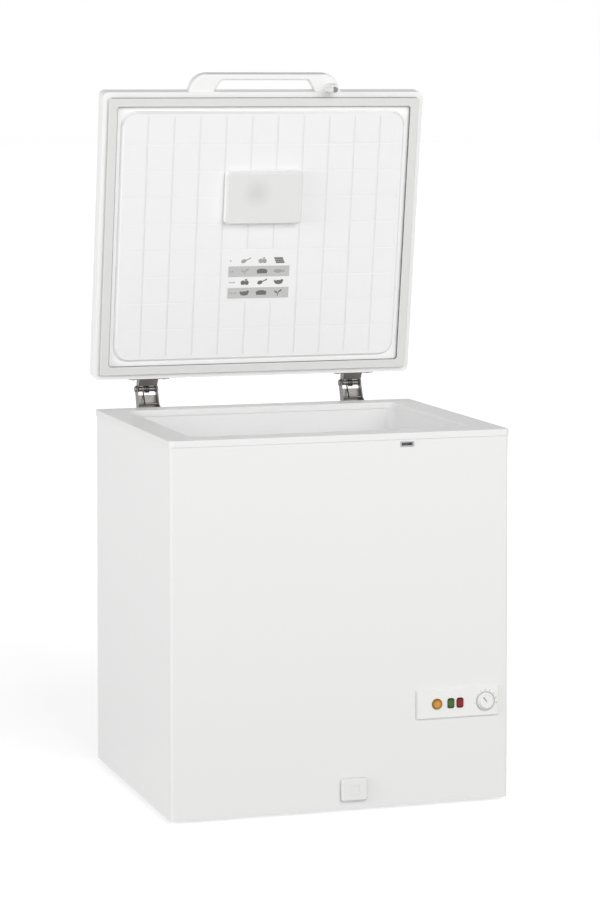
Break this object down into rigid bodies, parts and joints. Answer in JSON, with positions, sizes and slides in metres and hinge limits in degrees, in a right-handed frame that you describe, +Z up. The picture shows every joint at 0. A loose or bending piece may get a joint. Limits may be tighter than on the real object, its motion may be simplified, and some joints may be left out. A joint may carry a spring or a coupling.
{
  "type": "chest freezer",
  "caption": "White chest freezer, lid raised on sprung hinges, with gridded lid liner and lamp, handle with lock, front control panel, drain outlet and stepped tub over a machine compartment",
  "frame": {"origin": "on the floor, under the middle of the overall width and of the overall depth with the lid raised", "axes": "+X to the right seen from the front, +Y to the rear, +Z up"},
  "size_m": [0.757, 0.7156, 1.5672],
  "materials": {
    "white_paint": "smooth white enamel",
    "galvanised": "bare zinc sheet",
    "foam": "rigid closed-cell foam",
    "tub_metal": "stucco aluminium sheet",
    "frame_plastic": "light grey satin plastic",
    "white_plastic": "white satin plastic",
    "lid_plastic": "white formed sheet",
    "gasket_vinyl": "soft white vinyl",
    "black_rubber": "black rubber",
    "dark_plastic": "black plastic",
    "black_paint": "black enamel",
    "copper": "drawn copper tube",
    "coil_steel": "coated steel tube",
    "hinge_steel": "zinc-plated steel",
    "spring_steel": "oiled spring wire",
    "screw_steel": "plated steel",
    "amber_plastic": "amber translucent plastic",
    "green_plastic": "green translucent plastic",
    "red_plastic": "red translucent plastic",
    "lock_metal": "plated zinc",
    "lamp_glass": "clear bulb",
    "diffuser_plastic": "frosted plastic"
  },
  "bodies": {
    "cabinet": {"outer_shell": "white_paint", "rear_panel": "galvanised", "base_pan": "galvanised", "compartment_wall": "galvanised", "cabinet_foam": "foam", "inner_liner": "tub_metal", "top_frame": "frame_plastic", "feet": "black_rubber", "evaporator_coil": "copper", "condenser_coil": "coil_steel", "compressor": "black_paint", "compressor_grommets": "black_rubber", "compressor_studs": "screw_steel", "relay_cover": "dark_plastic", "suction_line": "copper", "discharge_line": "copper", "filter_drier": "copper", "capillary_tube": "copper", "side_vent_grille": "dark_plastic", "service_cover": "galvanised", "service_cover_screws": "screw_steel", "cord_gland": "black_rubber", "panel_bezel": "white_plastic", "panel_box": "dark_plastic", "fast_freeze_switch": "dark_plastic", "green_lamp": "green_plastic", "red_lamp": "red_plastic", "thermostat_body": "dark_plastic", "drain_pipe": "white_plastic", "drain_spout": "white_plastic", "lock_keeper": "dark_plastic", "hinge_bracket_screws": "screw_steel", "hinge_bracket_left": "hinge_steel", "hinge_bracket_right": "hinge_steel", "hinge_pin_left": "hinge_steel", "hinge_pin_right": "hinge_steel", "hinge_spring_left": "spring_steel", "hinge_spring_right": "spring_steel"},
    "lid": {"lid_outer_skin": "white_paint", "lid_foam": "foam", "lid_inner_liner": "lid_plastic", "lid_gasket": "gasket_vinyl", "lid_handle": "white_plastic", "handle_screws": "screw_steel", "lock_tower": "white_plastic", "lamp_base": "white_plastic", "lamp_bulb": "lamp_glass", "lamp_diffuser": "diffuser_plastic", "hinge_leaf_screws": "screw_steel", "hinge_leaf_left": "hinge_steel", "hinge_leaf_right": "hinge_steel"},
    "thermostat": {"thermostat_knob": "white_plastic", "thermostat_shaft": "dark_plastic"},
    "freeze_button": {"fast_freeze_button": "amber_plastic"},
    "lid_lock": {"lock_barrel": "lock_metal"},
    "drain_cap_body": {"drain_cap": "white_plastic"},
    "drain_plug_body": {"drain_plug": "white_plastic"}
  },
  "joints": [
    {"name": "lid_hinge", "type": "hinge", "parent": "cabinet", "child": "lid", "pos_m": [0, 0.34221, 0.8426], "axis": [-1, 0, 0], "range_deg": [-81, 0], "deforming": ["hinge_spring_left", "hinge_spring_right"]},
    {"name": "thermostat_turn", "type": "hinge", "parent": "cabinet", "child": "thermostat", "pos_m": [0.3222, -0.34254, 0.2202], "axis": [0, 1, 0], "range_deg": [-95, 170]},
    {"name": "fast_freeze_press", "type": "slide", "parent": "cabinet", "child": "freeze_button", "axis": [0, 1, 0], "range_m": [0, 0.0025], "stiffness_N_per_m": 800, "springref_m": -0.001},
    {"name": "lock_turn", "type": "hinge", "parent": "lid", "child": "lid_lock", "pos_m": [0.153, 0.19498, 1.5318], "axis": [0, -0.9877, -0.1564], "range_deg": [0, 90]},
    {"name": "drain_cap_pull", "type": "slide", "parent": "cabinet", "child": "drain_cap_body", "axis": [0, -1, 0], "range_m": [0, 0.03]},
    {"name": "drain_plug_lift", "type": "slide", "parent": "cabinet", "child": "drain_plug_body", "axis": [0, 0, 1], "range_m": [0, 0.03]}
  ]
}
